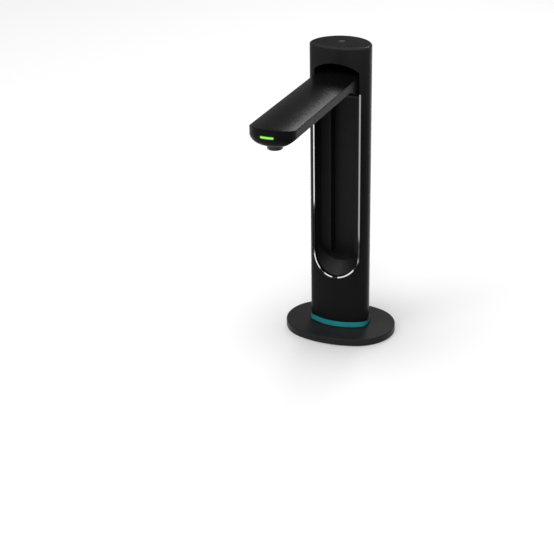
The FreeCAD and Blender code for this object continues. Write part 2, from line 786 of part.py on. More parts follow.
def make_column():
    blank = prism("ColumnBlank", "Z", shell_bottom, overall_height, column_loop(0))
    round_top(blank, rim_rounding, overall_height)
    hollow = prism("ColumnHollow", "Z", shell_bottom - MARGIN, overall_height + MARGIN,
                   column_loop(shell_wall))
    within = prism("ColumnWithin", "Z", shell_bottom, overall_height, column_loop(shell_wall / 2))
    tube = cut("ColumnTube", blank, hollow)
    height = (0, overall_height + MARGIN)
    front_half = block("FrontHalf", (-WIDE, WIDE), (-WIDE, split_y), height)
    rear_half = block("RearHalf", (-WIDE, WIDE), (split_y + shell_seam, WIDE), height)

    trim_room = trim_width + fit_gap
    slot = fuse("SlotCut", prism("SlotOpening", "Y", -column_front - MARGIN, 0, slot_loop()),
                prism("TrimSeat", "Y", -column_front - MARGIN, 0,
                      stadium_loop(slot_half_width + trim_room, trim_top + fit_gap)))
    pillars = [rod("Pillar", "Y", pillar_radius, (s.seat[0], -WIDE, s.seat[2]), split_y + WIDE)
               for s in rear_screws]
    stubs = [rod("TabBoss", "Y", boss_radius, (s.seat[0], -WIDE, s.seat[2]), tab_front + WIDE)
             for s in liner_screws]
    inner = common("FrontInner", within, fuse("FrontBosses", *pillars, *stubs))
    front = fuse("FrontBossed", cut("FrontWall", common("FrontTube", tube, front_half), slot), inner)
    piece(cut("FrontShell", front, *pilots(rear_screws + liner_screws + yoke_top_screws)),
          "column_front_shell")

    bosses = [rod("RearBoss", "Y", pillar_radius, (s.seat[0], split_y + shell_seam, s.seat[2]), WIDE)
              for s in rear_screws]
    sleeves = [rod("RearSleeve", "Y", s.head + sleeve_wall, (s.seat[0], rear_seat - sleeve_wall, s.seat[2]),
                   WIDE) for s in rear_screws]
    rear_inner = common("RearInner", within, fuse("RearBosses", *bosses, *sleeves))
    rear = fuse("RearBossed", common("RearTube", tube, rear_half), rear_inner)
    well = prism("SocketWell", "Y", socket_face - MARGIN, column_back + MARGIN,
                 rounded_loop(well_half_width, well_half_height, well_corner, socket_middle))
    piece(cut("RearCover", rear, *passages(rear_screws, rear_screw_length), *sinks(rear_screws), well),
          "column_rear_cover")
    screw_group("rear_cover_screws", rear_screws)


# Slot trim and the tray behind the slot

def make_trim():
    """A strip down both sides of the slot and round its foot, that stops beside the hinge."""
    skin = prism("TrimSkin", "Z", slot_bottom - trim_width - MARGIN, overall_height,
                 column_loop(-trim_proud), column_loop(trim_depth))
    front = -column_front - MARGIN
    strip = prism("TrimStrip", "Y", front, 0, stadium_loop(slot_half_width + trim_width, trim_top))
    opening = prism("TrimOpening", "Y", front - MARGIN, MARGIN,
                    stadium_loop(slot_half_width, trim_top + MARGIN))
    piece(cut("SlotTrim", common("TrimBand", skin, strip), opening), "slot_trim")


def make_liner():
    """The tray: its floor ramps from the slot's edge to the deep part that takes the folded arm."""
    front = trim_depth - column_front
    over = recess_top + MARGIN
    outside = common("LinerShell",
                     prism("LinerOuter", "Y", -column_front, recess_back,
                           stadium_loop(recess_half_width + liner_wall, recess_top)),
                     prism("LinerInside", "Z", 0, overall_height, column_loop(trim_depth + seat_gap)))
    case_half, case_back = channel_half_width + liner_wall, channel_depth + liner_wall
    channel_case = block("ChannelCase", (-case_half, case_half), (recess_depth, case_back),
                         (recess_bottom - liner_wall, recess_top))
    bosses = [rod("LinerBoss", "Z", boss_radius, (s.seat[0], s.seat[1], recess_top - liner_boss_height),
                  liner_boss_height) for s in yoke_low_screws]
    tab = block("LinerTab", (-tab_half_width, tab_half_width), (tab_front, tab_front + tab_thickness),
                (slot_bottom - tab_length, slot_bottom))

    mouth = prism("RecessMouth", "Y", -column_front - MARGIN, front, stadium_loop(slot_half_width, over))
    ramp = doc.addObject("PartDesign::Body", "RecessRamp")
    near = new_sketch(ramp, "Y", front, "Near")
    draw_loop(near, stadium_loop(slot_half_width, over))
    far = new_sketch(ramp, "Y", 0, "Far")
    draw_loop(far, tray_loop(over))
    loft = ramp.newObject("PartDesign::AdditiveLoft", "Ramp")
    loft.Profile = near
    loft.Sections = [far]
    loft.Ruled = True
    tray = prism("RecessTray", "Y", 0, recess_depth, tray_loop(over))
    channel = common("RecessChannel", prism("ChannelDepth", "Y", 0, channel_depth, tray_loop(over)),
                     block("ChannelWidth", (-channel_half_width, channel_half_width), (0, WIDE), (0, over)))
    walls = fuse("LinerWalls", outside, channel_case, *bosses, tab)
    piece(cut("RecessLiner", walls, mouth, ramp, tray, channel, *pilots(yoke_low_screws),
              *passages(liner_screws, tab_thickness + MARGIN)), "recess_liner")
    screw_group("liner_screws", liner_screws)


# Hinge

def make_yoke():
    """A bent steel frame: cheeks for the bushes, a top bar, and a bottom bar behind the folded arm."""
    out, low = yoke_outside, recess_top
    cheeks = [block("YokeCheek", x, (-yoke_front, yoke_back), (low, yoke_top))
              for x in ((yoke_inside, out), (-out, -yoke_inside))]
    top_bar = block("YokeTop", (-out, out), (-yoke_front, yoke_bar_back), (yoke_top - yoke_bar, yoke_top))
    wing_x = liner_boss_x + yoke_wing
    wing_y = liner_boss_y + boss_radius + part_gap
    half_bar = [(yoke_inside, recess_depth), (yoke_inside, -yoke_front), (out, -yoke_front),
                (out, yoke_back), (wing_x, wing_y), (yoke_tongue, wing_y), (yoke_tongue, channel_depth)]
    outline = [(x, y, None) for x, y in half_bar] + [(-x, y, None) for x, y in reversed(half_bar)]
    bottom_bar = prism("YokeBottom", "Z", low, low + yoke_bar, outline)
    bores = rod("YokeBore", "X", bush_radius, (-out - MARGIN, 0, axis_z), (out + MARGIN) * 2)
    holes = passages(yoke_low_screws + yoke_top_screws, yoke_bar + MARGIN)
    piece(cut("HingeYoke", fuse("YokeBlank", *cheeks, top_bar, bottom_bar), bores, *holes), "hinge_yoke")
    screw_group("yoke_screws", yoke_low_screws + yoke_top_screws)
    piece(block("ArmStop", (-stop_half_width, stop_half_width),
                (channel_depth - stop_setback - stop_length, channel_depth - stop_setback),
                (low + yoke_bar, axis_z - arm_belly - part_gap)), "arm_stop")


def on_axis(name, corners, side=1):
    """Turn (x, radius) corners about the hinge axis, at the right side or mirrored to the left."""
    loop = [(as_size(x) * side, radius, None) for x, radius in corners]
    if side < 0:
        loop.reverse()
    return turned(name, loop, axis="H_Axis", at=(0, 0, axis_z))


def make_hinge():
    bore = shaft_radius + shaft_clearance
    out = yoke_outside
    bush = [(bush_face, bore), (out, bore), (out, bush_radius), (yoke_inside, bush_radius),
            (yoke_inside, bush_flange_radius), (bush_face, bush_flange_radius)]
    inner = bore + spring_bore_gap
    spring_top = out + spring_height
    spring = [(out, bush_flange_radius), (out + spring_plate, bush_flange_radius), (spring_top, inner),
              (spring_top - spring_plate, inner)]
    clip_end = clip_face + clip_thickness
    clip = [(clip_face, groove_radius), (clip_end, groove_radius), (clip_end, clip_radius),
            (clip_face, clip_radius)]
    group("hinge_bushes", [on_axis("Bush", bush, side) for side in (1, -1)])
    group("disc_springs", [on_axis("DiscSpring", spring, side) for side in (1, -1)])
    group("shaft_clips", [on_axis("Clip", clip, side) for side in (1, -1)])

    end = clip_end + shaft_end
    right = [(end, 0), (end, shaft_radius), (clip_end, shaft_radius), (clip_end, groove_radius),
             (clip_face, groove_radius), (clip_face, shaft_radius)]
    left = [(-x, radius) for x, radius in reversed(right)]
    piece(on_axis("HingeShaft", right + left), "hinge_shaft")


# Cap, button and switch at the top

def make_cap():
    plate = prism("CapPlate", "Z", cap_under, overall_height, column_loop(shell_wall + seat_gap),
                  (0, button_y, button_radius + button_gap))
    half = cap_leg_thickness / 2
    inside = cap_under + cap_thickness / 2
    legs = [block("CapLeg", (x - half, x + half), (-cap_leg_half_depth, cap_leg_half_depth),
                  (pillar_high + pillar_radius, inside)) for x in (-pillar_x, pillar_x)]
    posts = [rod("CapPost", "Z", cap_post_radius, (s.seat[0], s.seat[1], switch_board_top),
                 inside - switch_board_top) for s in switch_screws]
    piece(cut("TopCap", fuse("CapBlank", plate, *legs, *posts), *pilots(switch_screws)), "top_cap")


def make_button():
    """The button's flange stays under the cap, and its stem stands on the switch's plunger."""
    flange_top = cap_under - seat_gap
    flange_low = flange_top - button_flange
    stem_low = flange_low - stem_length
    stem, lip = plunger_radius + fit_gap, button_radius + button_lip
    top, shoulder = overall_height, overall_height - button_chamfer
    button = turned("ButtonBlank", [
        (0, stem_low, None), (stem, stem_low, None), (stem, flange_low, None), (lip, flange_low, None),
        (lip, flange_top, None), (button_radius, flange_top, None), (button_radius, shoulder, None),
        (button_radius - button_chamfer, top, None), (0, top, None)], at=(0, button_y, 0))
    half = button_radius - button_dish_margin
    dish_radius = (square(half) + square(button_dish)) / (2 * button_dish)
    ball = doc.addObject("Part::Sphere", "ButtonDish")
    bind(ball, Radius=dish_radius)
    place(ball, (0, button_y, top - button_dish + dish_radius))
    piece(cut("CaptureButton", button, ball), "capture_button")

    plunger_low = stem_low - plunger_length
    piece(rod("Plunger", "Z", plunger_radius, (0, button_y, plunger_low), plunger_length), "switch_plunger")
    make_switch(plunger_low - button_travel - seat_gap)
    make_coil(flange_low)


def make_switch(bore_low):
    half = switch_half_width
    case = block("SwitchCase", (-half, half), (button_y - half, button_y + half),
                 (switch_board_top, switch_board_top + switch_height))
    bore = rod("SwitchBore", "Z", plunger_radius + fit_gap, (0, button_y, bore_low), switch_height + MARGIN)
    piece(cut("SwitchBody", case, bore), "switch_body")
    wide, deep = switch_board_half_width, switch_board_half_depth
    piece(prism("ButtonBoard", "Z", switch_board_top - board_thickness, switch_board_top,
                box_loop((-wide, wide), (button_y - deep, button_y + deep)),
                *[(s.seat[0], s.seat[1], s.radius + fit_gap) for s in switch_screws]), "button_board")
    screw_group("button_board_screws", switch_screws)


def make_coil(flange_low):
    """The button's return spring: a tube along a helix drawn as arcs of a quarter turn."""
    radius = coil_radius.value
    low = switch_board_top + coil_wire + coil_end_gap
    pitch = (flange_low - coil_wire - coil_end_gap - low).value / COIL_TURNS

    def point(turns):
        angle = 2 * math.pi * turns
        return Vector(radius * math.cos(angle), radius * math.sin(angle), pitch * turns)

    quarters = [i / 4 for i in range(4 * COIL_TURNS)]
    arcs = [Part.Arc(point(t), point(t + 0.125), point(t + 0.25)).toShape() for t in quarters]
    way = arcs[0].tangentAt(arcs[0].FirstParameter)
    ring = Part.Wire(Part.Circle(point(0), way, coil_wire.value).toShape())
    coil = doc.addObject("Part::Feature", "ButtonCoil")
    coil.Shape = Part.Wire(arcs).makePipeShell([ring], True, False)
    piece(place(coil, (0, button_y, low)), "button_spring")


# Electronics at the foot of the column

def make_electronics():
    level, top = board_level, main_board_top
    back = socket_face - socket_overhang
    wide, corner = main_board_half_width, main_board_corner
    side = back - main_board_slope
    piece(prism("MainBoard", "Z", level, top,
                [(-wide, -main_board_front, None), (wide, -main_board_front, None), (wide, side, None),
                 (wide - corner, back, None), (corner - wide, back, None), (-wide, side, None)],
                *[(s.seat[0], s.seat[1], s.radius + fit_gap) for s in board_screws]), "main_board")
    screw_group("board_screws", board_screws)

    def chip(name, x, y, half, height):
        return block(name, (x - half, x + half), (y - half, y + half), (top, top + height))

    cable_front = channel_depth + liner_wall + part_gap
    cable_back = cable_front + cable_thickness
    cable_span = (cable_x - cable_half_width, cable_x + cable_half_width)
    edge_x = wide - memory_half_width - parts_margin
    corner_x = wide - capacitor_radius - parts_margin / 2
    group("board_parts", [
        chip("Processor", 0, chip_half_width, chip_half_width, chip_height),
        chip("Memory", -edge_x, chip_half_width, memory_half_width, memory_height),
        chip("Choke", edge_x, post_front, choke_half_width, choke_height),
        rod("Capacitor", "Z", capacitor_radius, (-corner_x, -post_front, top), capacitor_height),
        block("CableSocket", cable_span, (cable_back - plug_depth, cable_back), (top, top + plug_height))])
    piece(block("CameraCable", cable_span, (cable_front, cable_back),
                (top + plug_height, recess_top + cable_end)), "camera_cable")

    wall, high = socket_wall, socket_height / 2
    rear = socket_face - socket_length
    inside = rear + socket_back_wall
    shell = prism("SocketShell", "Y", rear, socket_face,
                  rounded_loop(socket_half_width, high, high * 0.9, socket_middle))
    mouth = prism("SocketMouth", "Y", inside, socket_face + MARGIN,
                  rounded_loop(socket_half_width - wall, high - wall, (high - wall) * 0.9, socket_middle))
    tongue = block("SocketTongue", (-tongue_half_width, tongue_half_width),
                   (inside - socket_back_wall / 2, socket_face - tongue_setback),
                   (socket_middle - wall, socket_middle + wall))
    piece(fuse("UsbSocket", cut("SocketCan", shell, mouth), tongue), "usb_socket")


# Arm

def arm_form(name, inset):
    """The arm's body, moved in by the inset: crowned top, belly that rises to a round nose, arched tail."""
    half = arm_half_width - inset
    crown = (square(arm_half_width) + square(arm_crown)) / (2 * arm_crown)
    depth = arm_belly + arm_side_foot
    belly = (square(arm_half_width) + square(depth)) / (2 * depth)
    top = arm_top_edge + arm_crown - crown + root(square(crown - inset) - square(half))
    low = axis_z - arm_belly + belly - root(square(belly - inset) - square(half))
    section = prism(name + "Section", "Y", -LONG, LONG,
                    [(-half, low, belly - inset), (half, low, None), (half, top, crown - inset),
                     (-half, top, None)])
    nose, tail, corner = nose_radius - inset, tail_radius - inset, nose_corner - inset
    between = nose_radius - nose_corner
    corner_x = arm_half_width - nose_corner
    corner_y = root(square(between) - square(corner_x))
    meet_x, meet_y = corner_x * nose / between, nose_centre - corner_y * nose / between
    side_y = nose_centre - corner_y
    tail_y = arm_tail - tail_radius + root(square(tail) - square(half))
    roof = axis_z + WIDE
    plan = prism(name + "Plan", "Z", axis_z - WIDE, roof,
                 [(-half, side_y, corner), (-meet_x, meet_y, nose), (meet_x, meet_y, corner),
                  (half, side_y, None), (half, tail_y, tail), (-half, tail_y, None)])
    bottom = axis_z - arm_belly + inset
    low_nose, curve = bottom + chin_rise, nose_curve - inset
    chin = turned(name + "Chin", [
        (0, low_nose, None), (nose - curve, low_nose, curve), (nose, low_nose + curve, None),
        (nose, roof, None), (0, roof, None)], at=(0, nose_centre, 0))
    behind = prism(name + "Behind", "X", -WIDE, WIDE,
                   [(nose_centre, low_nose, None), (lamp_far, bottom - part_gap, None),
                    (lamp_far, axis_z - WIDE, None), (LONG, axis_z - WIDE, None), (LONG, roof, None),
                    (nose_centre, roof, None)])
    return common(name, section, plan, fuse(name + "Underside", chin, behind))


def knuckle_form(name, inset):
    """The thicker root of the arm: a barrel round the shaft, and the wedge that runs out to the belly."""
    half = arm_half_width - inset
    radius = knuckle_radius - inset
    reach, rise = knuckle_length, arm_side_foot + inset
    far = square(reach) + square(rise)
    share = square(radius) / far
    lean = radius * root(far - square(radius)) / far
    barrel = rod(name + "Barrel", "X", radius, (-half, 0, axis_z), half * 2)
    wedge = prism(name + "Wedge", "X", -half, half,
                  [(-reach, axis_z + rise, None),
                   (-(reach * share + rise * lean), axis_z + rise * share - reach * lean, None),
                   (0, axis_z, None), (0, axis_z + rise, None)])
    return fuse(name, barrel, wedge)


def make_arm_casing():
    outer = fuse("ArmOuter", arm_form("ArmForm", 0), knuckle_form("Knuckle", 0))
    hollow = fuse("ArmHollow", arm_form("ArmHollowForm", arm_wall), knuckle_form("KnuckleHollow", arm_wall))
    casing = cut("ArmCasing", outer, hollow)
    everywhere = (-LONG, LONG)
    below = block("BelowSeam", everywhere, everywhere, (0, seam_z))
    above = block("AboveSeam", everywhere, everywhere, (seam_z, seam_z + WIDE))

    low_posts = [rod("ArmLowPost", "Z", boss_radius, (s.seat[0], s.seat[1], axis_z - WIDE), WIDE)
                 for s in arm_screws]
    low_bosses = common("ArmLowBosses", outer, fuse("ArmLowPosts", *low_posts))
    bottom = fuse("ArmBottomBossed", common("ArmBottomWall", casing, below), low_bosses)
    lens_hole = rod("LensHole", "Z", lens_radius + fit_gap, (0, lens_centre, axis_z - WIDE), WIDE)
    shaft_hole = rod("ShaftHole", "X", shaft_radius + fit_gap, (-WIDE, 0, axis_z), WIDE * 2)
    window = block("LampSlot", (-lamp_half_width - fit_gap, lamp_half_width + fit_gap),
                   (lamp_far - fit_gap, lamp_near + fit_gap), (axis_z - WIDE, axis_z - arm_side_foot))
    light = prism("StatusSlot", "Y", -LONG, status_face, status_loop(fit_gap))
    piece(cut("ArmBottomShell", bottom, lens_hole, shaft_hole, window, light,
              *passages(arm_screws, arm_screw_length), *sinks(arm_screws), refine=False), "arm_bottom_shell")

    high_posts = [rod("ArmHighPost", "Z", post_radius, (s.seat[0], s.seat[1], deck_top), WIDE)
                  for s in arm_screws]
    high_bosses = common("ArmHighBosses", outer, fuse("ArmHighPosts", *high_posts))
    lid = fuse("ArmLidBossed", common("ArmLidWall", casing, above), high_bosses)
    piece(cut("ArmTopCover", lid, *pilots(arm_screws)), "arm_top_cover")
    screw_group("arm_screws", arm_screws)

    bar = prism("StatusBar", "Y", -LONG, status_face, status_loop(0))
    skin = cut("NoseSkin", outer, arm_form("NoseInner", status_depth))
    piece(common("StatusLight", bar, skin), "status_light")
    make_lamp(outer)


def make_status_board():
    face, level = status_face, axis_z + status_rise
    half, apart = status_led_half, status_led_spacing / 2
    leds = [block("StatusLed", (x - half, x + half), (face - status_led_reach, face + board_thickness / 2),
                  (level - half, level + half)) for x in (-apart, apart)]
    card = block("StatusCard", (-status_card_half_width, status_card_half_width),
                 (face, face + board_thickness), (level - status_card_low, level + status_card_high))
    piece(fuse("StatusBoard", card, *leds), "status_board")


def make_lamp(outer):
    """A strip of light sources above a milky window that follows the arm's belly."""
    window_top = axis_z - arm_belly + arm_wall + fit_gap
    slab = block("LampSlab", (-lamp_half_width, lamp_half_width), (lamp_far, lamp_near),
                 (axis_z - WIDE, window_top))
    piece(common("LampWindow", slab, outer), "lamp_window")
    low = window_top + stack_gap
    high = low + lamp_led_height
    half = lamp_led_half
    leds = []
    for i in range(LAMP_LEDS):
        y = lamp_far + lamp_length * ((i + 0.5) / LAMP_LEDS)
        leds.append(block("LampLed", (-half, half), (y - half, y + half), (low, high)))
    group("lamp_leds", leds)
    piece(block("LampBoard", (-lamp_board_half_width, lamp_board_half_width),
                (lamp_far - lamp_board_margin, lamp_near + lamp_board_margin),
                (high, high + board_thickness)), "lamp_board")


def make_arm_frame():
    """The arm's spine: a plate from the ears on the shaft to the ring that seats the camera."""
    ring = lens_radius + lens_seat
    neck = lens_centre + frame_neck
    wide, narrow = arm_half_width - arm_wall - ear_gap, frame_half_width
    ear = wide - ear_thickness
    root_y = ear_sink - ear_radius
    web_front = -ear_radius * 2
    web_back = web_front - frame_web
    side = [(ring, lens_centre), (narrow, neck), (narrow, web_back - wide + narrow), (wide, web_back),
            (wide, root_y), (ear, root_y), (ear, web_front)]
    mirrored = [(-x, y, None) for x, y in reversed(side)]
    mirrored[-1] = (-ring, lens_centre, ring)
    outline = [(0, lens_centre - ring, ring)] + [(x, y, None) for x, y in side] + mirrored
    plate = prism("FramePlate", "Z", axis_z, deck_top, outline, (0, lens_centre, lens_bore),
                  *[(s.seat[0], s.seat[1], s.radius + fit_gap) for s in arm_screws])
    ears = [rod("FrameEar", "X", ear_radius, (x, 0, axis_z), ear_thickness) for x in (ear, -wide)]
    bore = rod("FrameBore", "X", shaft_radius, (-WIDE, 0, axis_z), WIDE * 2)
    piece(cut("ArmFrame", fuse("FrameBlank", plate, *ears), bore), "arm_frame")


def make_camera():
    here = (0, lens_centre, 0)
    low, deck = axis_z - lens_drop, axis_z
    piece(turned("Barrel", [
        (lens_bore + lens_rim, low, None), (lens_radius - lens_rim, low, None),
        (lens_radius, low + lens_rim, None), (lens_radius, deck, None), (lens_bore, deck, None),
        (lens_bore, low + lens_rim, None)], at=here), "lens_barrel")
    glass_low = low + glass_depth
    piece(rod("LensGlass", "Z", lens_bore, (0, lens_centre, glass_low), glass_thickness), "lens_glass")
    cell_low = glass_low + glass_thickness + cell_gap
    ledge_top = deck - cell_flange
    ledge_low = ledge_top - cell_flange
    cell_top = deck_top + cell_flange
    piece(turned("Cell", [
        (0, cell_low, None), (cell_radius, cell_low, None), (cell_radius, ledge_low, None),
        (lens_bore, ledge_low, None), (lens_bore, ledge_top, None), (cell_radius, ledge_top, None),
        (cell_radius, cell_top, None), (0, cell_top, None)], at=here), "lens_cell")

    half = holder_half_width
    board_low = deck_top + holder_height
    board_top = board_low + board_thickness
    piece(prism("Holder", "Z", deck_top, board_low,
                box_loop((-half, half), (lens_centre - half, lens_centre + half)),
                (0, lens_centre, cell_radius + fit_gap)), "camera_holder")
    wide, long = sensor_board_half_width, sensor_board_half_length
    rear = lens_centre + long
    piece(block("SensorBoard", (-wide, wide), (lens_centre - long, rear), (board_low, board_top)),
          "sensor_board")
    film = flex_thickness
    start, bend = rear - flex_lap, rear + film
    piece(prism("Flex", "X", -flex_half_width, flex_half_width, [
        (start, board_top, None), (bend, board_top, None), (bend, deck_top, None),
        (-flex_root, deck_top, None), (-flex_root, deck_top + film, None),
        (bend + film, deck_top + film, None), (bend + film, board_top + film, None),
        (start, board_top + film, None)]), "arm_flex")


make_foot()
make_column_foot()
make_column()
make_trim()
make_liner()
make_yoke()
make_hinge()
make_cap()
make_button()
make_electronics()
make_arm_casing()
make_status_board()
make_arm_frame()
make_camera()
doc.recompute()

failed = [thing.Label for thing in doc.Objects if "Invalid" in thing.State or "Error" in thing.State]
if failed:
    raise RuntimeError(f"not built: {failed}")
for thing in pieces:
    if thing.Shape.isNull() or not thing.Shape.isValid():
        raise RuntimeError(f"bad shape: {thing.Label}")
    if not thing.Shape.Solids:
        raise RuntimeError(f"no solid: {thing.Label}")

os.makedirs("parts", exist_ok=True)
for thing in pieces:
    thing.Shape.exportStep(f"parts/{thing.Label}.step")
print(len(pieces), "sub-parts written")
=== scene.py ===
"""Looks of the overhead document scanner: materials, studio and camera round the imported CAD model."""

import bpy
from mathutils import Matrix, Vector


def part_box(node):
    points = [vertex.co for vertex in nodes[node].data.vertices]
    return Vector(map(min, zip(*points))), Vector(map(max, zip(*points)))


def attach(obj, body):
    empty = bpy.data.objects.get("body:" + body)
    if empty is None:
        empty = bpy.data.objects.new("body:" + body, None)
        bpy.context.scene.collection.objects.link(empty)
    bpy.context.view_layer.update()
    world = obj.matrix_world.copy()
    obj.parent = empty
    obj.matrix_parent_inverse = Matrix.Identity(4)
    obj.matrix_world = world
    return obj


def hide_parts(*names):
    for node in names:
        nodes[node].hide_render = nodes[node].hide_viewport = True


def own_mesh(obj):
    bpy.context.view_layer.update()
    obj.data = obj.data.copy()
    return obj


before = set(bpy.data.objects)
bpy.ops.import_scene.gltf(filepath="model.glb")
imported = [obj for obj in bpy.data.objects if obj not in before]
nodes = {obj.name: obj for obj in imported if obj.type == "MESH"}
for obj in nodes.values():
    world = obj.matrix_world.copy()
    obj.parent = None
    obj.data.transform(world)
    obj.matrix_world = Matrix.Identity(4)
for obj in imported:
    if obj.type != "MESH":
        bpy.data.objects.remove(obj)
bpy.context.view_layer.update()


def add_object(name, data):
    thing = bpy.data.objects.new(name, data)
    bpy.context.scene.collection.objects.link(thing)
    return thing


# Camera where the photograph was taken from; positions and lengths are in metres in the whole file

FRAME_PIXELS = 554
FOCAL_PIXELS = 1398.5
PICTURE_CENTRE = (333.5, 289.8)
SENSOR_WIDTH = 36.0
CAMERA_REACH = 50.0
CAMERA_PLACE = (0.5052, -1.4036, 0.7667)
RIGHT = Vector((0.93920, 0.34338, 0.0))
DOWN = Vector((0.14876, -0.40691, -0.90128))
AHEAD = Vector((-0.30947, 0.84650, -0.43324))


def set_camera():
    """Camera with the photograph's place, direction and lens; the picture is square."""
    data = bpy.data.cameras.new("camera")
    data.sensor_width = SENSOR_WIDTH
    data.lens = FOCAL_PIXELS / FRAME_PIXELS * SENSOR_WIDTH
    data.shift_x = -(PICTURE_CENTRE[0] - FRAME_PIXELS / 2) / FRAME_PIXELS
    data.shift_y = (PICTURE_CENTRE[1] - FRAME_PIXELS / 2) / FRAME_PIXELS
    data.clip_end = CAMERA_REACH
    camera = add_object("camera", data)
    turn = Matrix((RIGHT, -DOWN, -AHEAD)).transposed().to_4x4()
    camera.matrix_world = Matrix.Translation(CAMERA_PLACE) @ turn
    bpy.context.scene.camera = camera


set_camera()
bpy.context.scene.view_settings.view_transform = "Standard"


# Material building blocks

NOISE_LOW, NOISE_HIGH = 0.3, 0.7    # most of a noise lies between these
BEVEL_SAMPLES = 6


def new_node_material(name):
    material = bpy.data.materials.new(name)
    material.use_nodes = True
    return material


def node_of(tree, kind):
    return next(node for node in tree.nodes if node.type == kind)


def shade(colour, factor):
    return tuple(min(1.0, channel * factor) for channel in colour)


class Look:
    """A Principled material whose colour, roughness and relief come from procedural nodes."""

    def __init__(self, name, **sockets):
        self.material = new_node_material(name)
        self.tree = self.material.node_tree
        self.shader = node_of(self.tree, "BSDF_PRINCIPLED")
        self.where = self.add("ShaderNodeTexCoord").outputs["Object"]
        self.normal = None
        for socket, value in sockets.items():
            self.shader.inputs[socket.replace("_", " ")].default_value = value

    def add(self, kind, **settings):
        node = self.tree.nodes.new(kind)
        for key, value in settings.items():
            setattr(node, key, value)
        return node

    def link(self, source, target):
        self.tree.links.new(source, target)

    def noise(self, size, detail=2.0, rough=0.5, stretch=None):
        """Cloudy value from 0 to 1 with features of this size."""
        node = self.add("ShaderNodeTexNoise")
        node.inputs["Scale"].default_value = 1.0 / size
        node.inputs["Detail"].default_value = detail
        node.inputs["Roughness"].default_value = rough
        self.link(self.stretched(stretch), node.inputs["Vector"])
        return node.outputs["Fac"]

    def cells(self, size, feature="F1", output="Distance", spread=1.0):
        """Cells of this size, from a square grid at spread 0 to scattered ones at 1."""
        node = self.add("ShaderNodeTexVoronoi", feature=feature)
        node.inputs["Scale"].default_value = 1.0 / size
        node.inputs["Randomness"].default_value = spread
        self.link(self.where, node.inputs["Vector"])
        return node.outputs[output]

    def stretched(self, stretch):
        if stretch is None:
            return self.where
        node = self.add("ShaderNodeMapping")
        node.inputs["Scale"].default_value = stretch
        self.link(self.where, node.inputs["Vector"])
        return node.outputs["Vector"]

    def split(self, output=None):
        node = self.add("ShaderNodeSeparateXYZ")
        self.link(output or self.where, node.inputs[0])
        return node.outputs

    def math(self, operation, a, b=0.0):
        node = self.add("ShaderNodeMath", operation=operation)
        for socket, value in zip(node.inputs, (a, b)):
            if isinstance(value, (int, float)):
                socket.default_value = value
            else:
                self.link(value, socket)
        return node.outputs[0]

    def distance(self, a, b):
        """Length of the line whose two legs are a and b."""
        squares = [self.math("MULTIPLY", leg, leg) for leg in (a, b)]
        return self.math("SQRT", self.math("ADD", *squares))

    def spread(self, value, low, high, start=NOISE_LOW, end=NOISE_HIGH):
        """Map what lies between start and end onto the range from low to high."""
        node = self.add("ShaderNodeMapRange")
        for socket, number in (("From Min", start), ("From Max", end), ("To Min", low), ("To Max", high)):
            node.inputs[socket].default_value = number
        self.link(value, node.inputs["Value"])
        return node.outputs["Result"]

    def waver(self, size, amount, detail=3.0):
        """Small irregular offset to either side of 0."""
        return self.spread(self.noise(size, detail=detail), -amount, amount)

    def ramp(self, value, *stops):
        node = self.add("ShaderNodeValToRGB")
        ramp = node.color_ramp
        while len(ramp.elements) < len(stops):
            ramp.elements.new(0.5)
        for element, (position, colour) in zip(ramp.elements, stops):
            element.position = position
            element.color = (*colour, 1.0)
        self.link(value, node.inputs["Fac"])
        return node.outputs["Color"]

    def clouded(self, colour, size=0.03, amount=0.12):
        """One colour with faint cloudy variation."""
        cloud = self.noise(size, detail=3.0)
        dark, light = shade(colour, 1 - amount), shade(colour, 1 + amount)
        return self.ramp(cloud, (NOISE_LOW, dark), (NOISE_HIGH, light))

    def mix(self, factor, a, b):
        node = self.add("ShaderNodeMix", data_type="RGBA")
        sockets = [s for s in node.inputs if s.enabled]
        self.link(factor, sockets[0])
        for socket, value in zip(sockets[1:], (a, b)):
            if isinstance(value, tuple):
                socket.default_value = (*value, 1.0)
            else:
                self.link(value, socket)
        return next(s for s in node.outputs if s.enabled)

    def colour(self, output):
        self.link(output, self.shader.inputs["Base Color"])

    def roughness(self, output):
        self.link(output, self.shader.inputs["Roughness"])

    def polish(self, size, low, high, detail=2.0):
        """Roughness that varies in patches of this size."""
        self.roughness(self.spread(self.noise(size, detail=detail), low, high))

    def soft_edges(self, radius):
        """Let light roll over the edges as over this radius; goes before any relief."""
        node = self.add("ShaderNodeBevel", samples=BEVEL_SAMPLES)
        node.inputs["Radius"].default_value = radius
        self.normal = node.outputs["Normal"]
        self.link(self.normal, self.shader.inputs["Normal"])

    def relief(self, height, depth, strength):
        """Add relief of this depth; later reliefs lie on top of the earlier ones."""
        node = self.add("ShaderNodeBump")
        node.inputs["Strength"].default_value = strength
        node.inputs["Distance"].default_value = depth
        self.link(height, node.inputs["Height"])
        if self.normal is not None:
            self.link(self.normal, node.inputs["Normal"])
        self.normal = node.outputs["Normal"]
        self.link(self.normal, self.shader.inputs["Normal"])


RUBBED_PATCH = 0.012
GRAIN_STRENGTH = 0.5
WAVE_LENGTH, WAVE_DEPTH, WAVE_STRENGTH = 0.04, 0.00006, 0.25


def moulded(name, colour, rough, grain=0.0004, depth=0.000012, specular=0.25, edge=None, polish=0.05):
    """Moulded plastic: fine spark-eroded grain, faint clouds in colour and polish, and rubbed edges."""
    look = Look(name, Specular_IOR_Level=specular)
    if edge:
        look.soft_edges(edge)
    look.colour(look.clouded(colour))
    rubbed = look.noise(RUBBED_PATCH, detail=4.0, rough=0.6)
    look.roughness(look.spread(rubbed, rough - polish, rough + polish))
    look.relief(look.noise(grain, detail=3.0, rough=0.6), depth, GRAIN_STRENGTH)
    look.relief(look.noise(WAVE_LENGTH, detail=1.0), WAVE_DEPTH, WAVE_STRENGTH)
    return look


